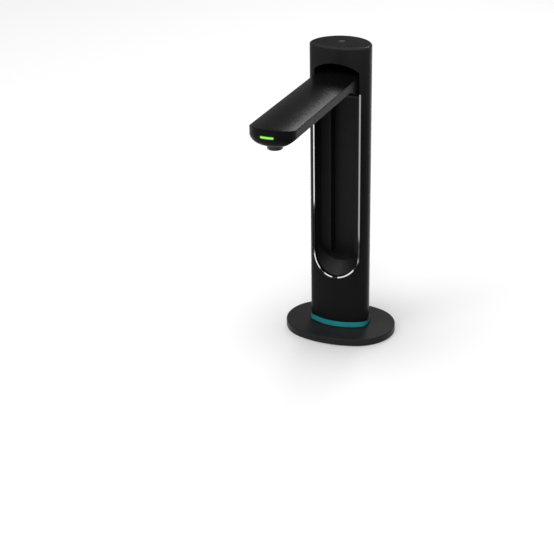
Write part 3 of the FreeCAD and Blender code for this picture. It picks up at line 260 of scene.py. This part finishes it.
METAL_LINES, METAL_LINE_DEPTH, METAL_LINE_STRENGTH = 0.00025, 0.000006, 0.4
METAL_SMOOTHER, METAL_ROUGHER = 0.06, 0.08


def metal(name, colour, rough, brushed=None):
    """Bare or plated metal; brushed gives the direction in which its fine lines run."""
    look = Look(name, Metallic=1.0)
    look.colour(look.clouded(colour, size=0.006, amount=0.06))
    lines = look.noise(METAL_LINES, detail=3.0, rough=0.6, stretch=brushed)
    look.roughness(look.spread(lines, rough - METAL_SMOOTHER, rough + METAL_ROUGHER))
    look.relief(lines, METAL_LINE_DEPTH, METAL_LINE_STRENGTH)
    return look


RUBBER_DOTS, RUBBER_DOT_HEIGHT = 0.0022, 0.00015


def rubber(name, colour):
    """Matt rubber with rows of small raised dots."""
    look = Look(name, Specular_IOR_Level=0.2)
    look.colour(look.clouded(colour, size=0.02, amount=0.2))
    look.polish(size=0.004, low=0.75, high=0.92, detail=4.0)
    dots = look.cells(RUBBER_DOTS, spread=0.15)
    look.relief(look.spread(dots, 1.0, 0.0, start=0.15, end=0.5), RUBBER_DOT_HEIGHT, strength=0.6)
    return look


dressed = set()


def dress(look, *names):
    for name in names:
        materials = nodes[name].data.materials
        materials.clear()
        materials.append(look.material)
        dressed.add(name)


# Plastics

BLACK = (0.009, 0.009, 0.0095)
TEAL = (0.02, 0.3, 0.33)

TOP_SHEEN_HEIGHT = 0.08                          # painted highlight: the column is coloured lighter over this height under its top
RIM_HIGHLIGHT_STARTS, RIM_HIGHLIGHT_FULL = 0.0024, 0.0012       # painted highlight along the rim, below the top


def case_look():
    """The column's black, with painted highlights: lighter towards its top and a paler line along its
    rounded rim.
    """
    look = moulded("case_black", BLACK, 0.30, specular=0.043, edge=0.0004)
    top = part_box("top_cap")[1].z
    z = look.split()[2]
    up = look.math("SUBTRACT", z, top - TOP_SHEEN_HEIGHT)
    held = look.math("ADD", up, look.waver(size=0.03, amount=0.006))
    # painted highlight: the colour grows lighter towards the column's top
    painted_top_sheen = look.ramp(look.math("MULTIPLY", held, 1 / TOP_SHEEN_HEIGHT), (0.0, BLACK), (1.0, shade(BLACK, 2.0)))
    # painted highlight: a paler line along the rounded rim
    rim = look.spread(z, 0.0, 1.0, start=top - RIM_HIGHLIGHT_STARTS, end=top - RIM_HIGHLIGHT_FULL)
    look.colour(look.mix(rim, painted_top_sheen, shade(BLACK, 3.6)))
    return look


LIT_RAMP_SPAN = 0.04                            # painted light: the tray's paler, lit ramp lies along this much of its foot
LIT_RAMP_UNTIL, LIT_RAMP_ENDS = 0.45, 0.75          # as shares of that span


def liner_look():
    """Matt black tray, with painted light making it paler where its ramp leads the arm's nose out."""
    look = moulded("liner_black", shade(BLACK, 1.3), 0.45, grain=0.0006, specular=0.12)
    z = look.split()[2]
    up = look.math("SUBTRACT", z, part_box("recess_liner")[0].z)
    held = look.math("ADD", up, look.waver(size=0.008, amount=0.001))
    # painted light: the upward-facing ramp is coloured paler than the rest of the tray
    lit_ramp_colour, plain = shade(BLACK, 2.6), shade(BLACK, 1.2)
    look.colour(look.ramp(look.math("MULTIPLY", held, 1 / LIT_RAMP_SPAN),
                          (0.0, lit_ramp_colour), (LIT_RAMP_UNTIL, lit_ramp_colour), (LIT_RAMP_ENDS, plain)))
    return look


TAPER_STARTS = -0.008                       # behind this y the teal narrows,
TAPER_TOP = 0.13                            # from above by this share of the way back
TAPER_BOTTOM = 1.1                          # and from below by this share of that
BAND_BLUR = 0.0006


def ring_look():
    """Teal band that narrows towards the back; the rest of the ring is black."""
    look = moulded("ring_teal", TEAL, 0.32, grain=0.0003, specular=0.3)
    bottom, top = (corner.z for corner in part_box("accent_ring"))
    _, y, z = look.split()
    back = look.math("MAXIMUM", look.math("SUBTRACT", y, TAPER_STARTS), 0.0)
    sunk = look.math("MULTIPLY", back, TAPER_TOP)
    below = look.math("SUBTRACT", look.math("SUBTRACT", top, sunk), z)
    raised = look.math("MULTIPLY", sunk, TAPER_BOTTOM)
    above = look.math("SUBTRACT", look.math("SUBTRACT", z, bottom), raised)
    share = look.spread(look.math("MINIMUM", below, above), 0.0, 1.0, start=0.0, end=BAND_BLUR)
    look.colour(look.mix(share, BLACK, look.clouded(TEAL, amount=0.1)))
    return look


HIGHLIGHT_X, HIGHLIGHT_Y = -0.0015, 0.0036          # middle of the painted highlight from the button's own
HIGHLIGHT_HALF_WIDTH, HIGHLIGHT_HALF_DEPTH = 0.0052, 0.0045


def button_look():
    """Black like the cap, with a painted highlight on its dished middle."""
    look = moulded("button_black", BLACK, 0.30, grain=0.0002, specular=0.05)
    low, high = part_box("capture_button")
    x, y, _ = look.split()
    x = look.math("DIVIDE", look.math("SUBTRACT", x, HIGHLIGHT_X), HIGHLIGHT_HALF_WIDTH)
    y = look.math("SUBTRACT", y, (low.y + high.y) / 2 + HIGHLIGHT_Y)
    y = look.math("DIVIDE", y, HIGHLIGHT_HALF_DEPTH)
    far = look.math("ADD", look.distance(x, y), look.waver(size=0.004, amount=0.1, detail=2.0))
    # painted highlight: pale in the middle, fading to black towards the edge
    look.colour(look.ramp(far, (0.0, shade(BLACK, 10.0)), (0.5, shade(BLACK, 7.0)),
                          (1.0, shade(BLACK, 0.7))))
    return look


arm_black = moulded("arm_black", shade(BLACK, 0.55), 0.28, depth=0.000006, specular=0.05, edge=0.0008,
                    polish=0.02)
dress(arm_black, "arm_top_cover", "arm_bottom_shell")
dress(moulded("foot_black", shade(BLACK, 2.3), 0.36, specular=0.1, edge=0.0005), "base_cover")
dress(case_look(), "column_front_shell", "column_rear_cover")
dress(liner_look(), "recess_liner")
dress(ring_look(), "accent_ring")
dress(moulded("cap_black", shade(BLACK, 0.7), 0.30, specular=0.035, edge=0.0004), "top_cap")
dress(button_look(), "capture_button")
dress(moulded("inner_plastic", (0.045, 0.045, 0.05), 0.5, grain=0.0003, depth=0.00002),
      "column_foot", "camera_holder")
dress(moulded("bush_plastic", (0.012, 0.012, 0.013), 0.38, grain=0.0003),
      "hinge_bushes", "switch_plunger")
dress(rubber("pad_rubber", (0.02, 0.02, 0.021)), "base_pad")
dress(rubber("stop_rubber", (0.035, 0.035, 0.037)), "arm_stop")


# Metals

TRIM_HALF_WIDTH = 0.001
PLATING_BRIGHT, PAINTED_EDGE_SHADE = (0.82, 0.83, 0.84), (0.1, 0.1, 0.1)


def chrome_look():
    """Polished plating, bright along the middle of the strip, with painted shade darkening it towards its
    two edges.
    """
    look = Look("trim_chrome", Metallic=1.0)
    low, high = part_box("slot_trim")
    x, _, z = look.split()
    below = look.math("MINIMUM", look.math("SUBTRACT", z, low.z + high.x), 0.0)
    from_middle = look.math("SUBTRACT", look.distance(x, below), high.x - TRIM_HALF_WIDTH)
    across = look.math("MULTIPLY", look.math("ABSOLUTE", from_middle), 1 / TRIM_HALF_WIDTH)
    # painted shade: the plating's colour darkens towards the strip's two edges
    look.colour(look.ramp(across, (0.0, PLATING_BRIGHT), (0.55, (0.8, 0.81, 0.82)),
                          (0.85, (0.2, 0.2, 0.21)), (1.0, PAINTED_EDGE_SHADE)))
    look.polish(size=0.01, low=0.05, high=0.1, detail=4.0)
    look.relief(look.noise(0.015, detail=1.0), depth=0.00002, strength=0.2)
    return look


def zinc_look():
    """Zinc-plated sheet with its spangle."""
    look = metal("ballast_steel", (0.5, 0.51, 0.52), 0.35)
    spangle = look.cells(0.006, output="Color")
    dark, light = (0.42, 0.43, 0.45), (0.58, 0.59, 0.6)
    look.colour(look.ramp(look.split(spangle)[0], (0.0, dark), (1.0, light)))
    return look


dress(chrome_look(), "slot_trim")
dress(zinc_look(), "base_plate", "base_weight")
dress(moulded("yoke_steel", (0.006, 0.006, 0.0065), 0.5, grain=0.0002, depth=0.00002), "hinge_yoke")
dress(metal("shaft_steel", (0.62, 0.62, 0.63), 0.18, brushed=(1.0, 0.1, 0.1)), "hinge_shaft")
dress(metal("spring_steel", (0.42, 0.42, 0.44), 0.28), "disc_springs", "shaft_clips", "button_spring")
dress(metal("screw_steel", (0.09, 0.09, 0.095), 0.32), "base_screws", "foot_screws", "rear_cover_screws",
      "liner_screws", "yoke_screws", "button_board_screws", "board_screws", "arm_screws")
dress(metal("frame_aluminium", (0.66, 0.67, 0.68), 0.42), "arm_frame")
dress(metal("socket_steel", (0.62, 0.62, 0.64), 0.22, brushed=(0.2, 1.0, 1.0)), "usb_socket")
dress(moulded("lens_black", (0.01, 0.01, 0.011), 0.28, grain=0.0002, specular=0.4),
      "lens_barrel", "lens_cell")


# Button's spring, as a copy of its own on the column


def yielding_spring():
    """The button's spring as a copy of its own on the column's body, in place of the imported one."""
    coil = add_object("button_spring_coil", nodes["button_spring"].data.copy())
    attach(coil, "column")
    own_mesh(coil)
    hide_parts("button_spring")


yielding_spring()


# Glass, lamp and status light

def glass_look():
    """Coated front glass with a violet tinge."""
    look = Look("lens_glass", Transmission_Weight=1.0, IOR=1.5, Coat_Weight=0.5, Coat_Roughness=0.02,
                Coat_Tint=(0.5, 0.4, 0.9, 1.0))
    look.colour(look.ramp(look.noise(0.004), (0.0, (0.75, 0.8, 0.95)), (1.0, (0.85, 0.85, 0.98))))
    look.polish(size=0.003, low=0.0, high=0.02)
    return look


def window_look():
    """Milky diffuser over the lamp."""
    look = Look("lamp_white", Subsurface_Weight=0.4, Subsurface_Scale=0.002, Specular_IOR_Level=0.4)
    look.colour(look.clouded((0.78, 0.78, 0.75), size=0.01, amount=0.04))
    look.polish(size=0.003, low=0.35, high=0.45)
    look.relief(look.noise(0.0008), depth=0.00002, strength=0.4)
    return look


def phosphor_look():
    """Yellow phosphor of the lamp's small light sources."""
    look = Look("led_yellow", Specular_IOR_Level=0.5)
    look.colour(look.clouded((0.78, 0.62, 0.12), size=0.0006, amount=0.15))
    look.polish(size=0.0008, low=0.3, high=0.5)
    return look


def status_look():
    """A lit bar: bright yellow-green within, and a dark green fringe along its edge."""
    look = Look("status_green", Specular_IOR_Level=0.5, Emission_Strength=1.0)
    low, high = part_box("status_light")
    middle, half = (low + high) / 2, (high - low) / 2
    x, _, z = look.split()
    past = look.math("SUBTRACT", look.math("ABSOLUTE", x), half.x - half.z)
    along = look.math("MAXIMUM", past, 0.0)
    across = look.math("SUBTRACT", z, middle.z)
    edge = look.math("DIVIDE", look.distance(along, across), half.z)
    level = look.math("ADD", edge, look.waver(size=0.0006, amount=0.05, detail=2.0))
    glow = look.ramp(level, (0.0, (0.36, 0.72, 0.14)), (0.45, (0.26, 0.62, 0.07)),
                     (0.8, (0.03, 0.26, 0.01)), (1.0, (0.003, 0.05, 0.003)))
    look.link(glow, look.shader.inputs["Emission Color"])
    look.colour(look.ramp(level, (0.0, (0.1, 0.4, 0.02)), (1.0, (0.01, 0.06, 0.01))))
    look.polish(size=0.002, low=0.2, high=0.3)
    return look


dress(glass_look(), "lens_glass")
dress(window_look(), "lamp_window")
dress(phosphor_look(), "lamp_leds")
dress(status_look(), "status_light")


# Boards, their parts and the flat cables

COPPER = (0.62, 0.6, 0.55)
PAD_RADIUS = 0.11                           # as a share of the pads' grid


def board_look():
    """Green solder mask over copper tracks and pads."""
    look = Look("board_green", Specular_IOR_Level=0.5)
    tracks = look.cells(0.0032, feature="DISTANCE_TO_EDGE", spread=0.6)
    pads = look.cells(0.0045, spread=0.8)
    mask = look.ramp(tracks, (0.03, (0.03, 0.17, 0.055)), (0.07, (0.012, 0.09, 0.03)))
    look.colour(look.mix(look.math("LESS_THAN", pads, PAD_RADIUS), mask, COPPER))
    look.polish(size=0.002, low=0.28, high=0.42)
    look.relief(look.spread(tracks, 1.0, 0.0, start=0.02, end=0.06), depth=0.00004, strength=0.5)
    return look


LANE_WIDTH = 0.0005


def film_look():
    """White film with flat copper conductors showing through it."""
    look = Look("cable_film", Specular_IOR_Level=0.4)
    lane = look.math("PINGPONG", look.split()[0], LANE_WIDTH)
    share = look.math("MULTIPLY", lane, 1 / LANE_WIDTH)
    look.colour(look.ramp(share, (0.45, (0.72, 0.72, 0.68)), (0.55, (0.5, 0.49, 0.45))))
    look.polish(size=0.003, low=0.35, high=0.5)
    look.relief(share, depth=0.00003, strength=0.4)
    return look


dress(board_look(), "main_board", "button_board", "sensor_board", "lamp_board", "status_board")
dress(moulded("component_black", (0.018, 0.018, 0.019), 0.5, grain=0.0002, depth=0.00001),
      "board_parts", "switch_body")
dress(film_look(), "camera_cable", "arm_flex")

bare = sorted(set(nodes) - dressed)
if bare:
    raise RuntimeError(f"no material for {bare}")


# Floor, background and lamps; the world is white at the horizon and dimmer above it

FLOOR_HALF_WIDTH = 6
FLOOR_GREY = 0.6
FLOOR_LIFT = 0.6                            # glow of the floor, to seen rays only
SHADE_DEPTH = 0.78                          # what that glow loses under the foot
SHADE_REACH = 0.062                         # distance over which the loss fades
WORLD_ABOVE = 0.18
HORIZON_HEIGHT = 0.1
CARD_HEIGHT = 0.002

# x from and to, y from and to, and brightness
CARDS = [
    ((-0.403, -0.236), (-0.16, -0.02), 0.02),
    ((-0.165, -0.13), (-0.16, -0.08), 0.02),
    ((-0.071, -0.03), (-0.2, -0.14), 0.02),
    ((0.094, 0.136), (-0.22, -0.15), 0.02),
    ((0.136, 0.151), (-0.25, -0.15), 0.4),
    ((0.151, 0.19), (-0.25, -0.15), 0.05),
    ((0.19, 0.9), (-1.0, -0.15), 0.45),
]

# Name, place, point aimed at, width and height, and watts
LAMPS = [
    ("key_front", (0.5, -1.9, 1.6), (0, 0, 0.15), (1.4, 1.4), 22),
    ("key_left", (-0.8, -1.1, 2.0), (0, 0, 0.15), (0.8, 0.8), 14),
    ("back_high", (-0.16, 1.68, 1.5), (0, -0.15, 0.3), (0.5, 0.5), 10),
    ("top", (0.0, 0.0, 2.4), (0, 0, 0.1), (1.6, 1.6), 8),
]


def flat_mesh(name, across, along, height):
    (x0, x1), (y0, y1) = across, along
    mesh = bpy.data.meshes.new(name)
    corners = [(x0, y0, height), (x1, y0, height), (x1, y1, height), (x0, y1, height)]
    mesh.from_pydata(corners, [], [(0, 1, 2, 3)])
    return mesh


def seen_rays(tree):
    """1 for a ray from the camera, straight, by a gloss or through glass, and 0 for light on a surface."""
    path = tree.nodes.new("ShaderNodeLightPath")
    seen = path.outputs["Is Camera Ray"]
    for ray in ("Is Glossy Ray", "Is Transmission Ray"):
        node = tree.nodes.new("ShaderNodeMath")
        node.operation = "MAXIMUM"
        tree.links.new(seen, node.inputs[0])
        tree.links.new(path.outputs[ray], node.inputs[1])
        seen = node.outputs[0]
    return seen


def lift_of_floor(tree):
    """Glow that brings the floor to white where it is seen, and leaves it dark round the foot."""
    seen = seen_rays(tree)
    coordinates = tree.nodes.new("ShaderNodeTexCoord")
    length = tree.nodes.new("ShaderNodeVectorMath")
    length.operation = "LENGTH"
    tree.links.new(coordinates.outputs["Object"], length.inputs[0])
    last = length.outputs["Value"]
    for operation, number in (("DIVIDE", -SHADE_REACH), ("EXPONENT", 0.0), ("MULTIPLY", SHADE_DEPTH),
                              ("MINIMUM", FLOOR_LIFT), ("SUBTRACT", FLOOR_LIFT), ("MULTIPLY", -1.0),
                              ("MULTIPLY", seen)):
        step = tree.nodes.new("ShaderNodeMath")
        step.operation = operation
        tree.links.new(last, step.inputs[0])
        if isinstance(number, float):
            step.inputs[1].default_value = number
        else:
            tree.links.new(number, step.inputs[1])
        last = step.outputs[0]
    return last


def lay_floor():
    """Pale floor that takes the shadow, with its glow."""
    span = (-FLOOR_HALF_WIDTH, FLOOR_HALF_WIDTH)
    floor = add_object("floor", flat_mesh("floor", span, span, 0))
    material = new_node_material("floor_pale")
    tree = material.node_tree
    shader = node_of(tree, "BSDF_PRINCIPLED")
    shader.inputs["Base Color"].default_value = (FLOOR_GREY, FLOOR_GREY, FLOOR_GREY, 1.0)
    shader.inputs["Roughness"].default_value = 0.9
    shader.inputs["Specular IOR Level"].default_value = 0.1
    glow = tree.nodes.new("ShaderNodeEmission")
    tree.links.new(lift_of_floor(tree), glow.inputs["Strength"])
    both = tree.nodes.new("ShaderNodeAddShader")
    tree.links.new(shader.outputs[0], both.inputs[0])
    tree.links.new(glow.outputs[0], both.inputs[1])
    tree.links.new(both.outputs[0], node_of(tree, "OUTPUT_MATERIAL").inputs["Surface"])
    floor.data.materials.append(material)


def hang_world():
    """White world at the horizon, which dims above it."""
    world = bpy.data.worlds.new("studio")
    bpy.context.scene.world = world
    world.use_nodes = True
    tree = world.node_tree
    background = node_of(tree, "BACKGROUND")
    background.inputs["Color"].default_value = (1.0, 1.0, 1.0, 1.0)
    coordinates = tree.nodes.new("ShaderNodeTexCoord")
    split = tree.nodes.new("ShaderNodeSeparateXYZ")
    tree.links.new(coordinates.outputs["Generated"], split.inputs[0])
    strength = tree.nodes.new("ShaderNodeMapRange")
    strength.interpolation_type = "SMOOTHSTEP"
    for socket, number in (("From Min", 0.0), ("From Max", HORIZON_HEIGHT),
                           ("To Min", 1.0), ("To Max", WORLD_ABOVE)):
        strength.inputs[socket].default_value = number
    tree.links.new(split.outputs["Z"], strength.inputs["Value"])
    tree.links.new(strength.outputs["Result"], background.inputs["Strength"])


def card(name, across, along, level):
    """A card on the floor that only reflections see, as photographers lay out to draw lines in plating."""
    mesh = flat_mesh(name, across, along, CARD_HEIGHT)
    thing = add_object(name, mesh)
    for ray in ("camera", "diffuse", "transmission", "volume_scatter", "shadow"):
        setattr(thing, "visible_" + ray, False)
    material = new_node_material(name)
    tree = material.node_tree
    glow = tree.nodes.new("ShaderNodeEmission")
    glow.inputs["Strength"].default_value = level
    tree.links.new(glow.outputs[0], node_of(tree, "OUTPUT_MATERIAL").inputs["Surface"])
    mesh.materials.append(material)


def lamp(name, place, aim, size, power):
    data = bpy.data.lights.new(name, "AREA")
    data.shape = "RECTANGLE"
    data.size, data.size_y = size
    data.energy = power
    way = Vector(aim) - Vector(place)
    turn = way.to_track_quat("-Z", "Y").to_matrix().to_4x4()
    add_object(name, data).matrix_world = Matrix.Translation(place) @ turn


lay_floor()
hang_world()
for number, (across, along, level) in enumerate(CARDS):
    card(f"card_{number}", across, along, level)
for settings in LAMPS:
    lamp(*settings)
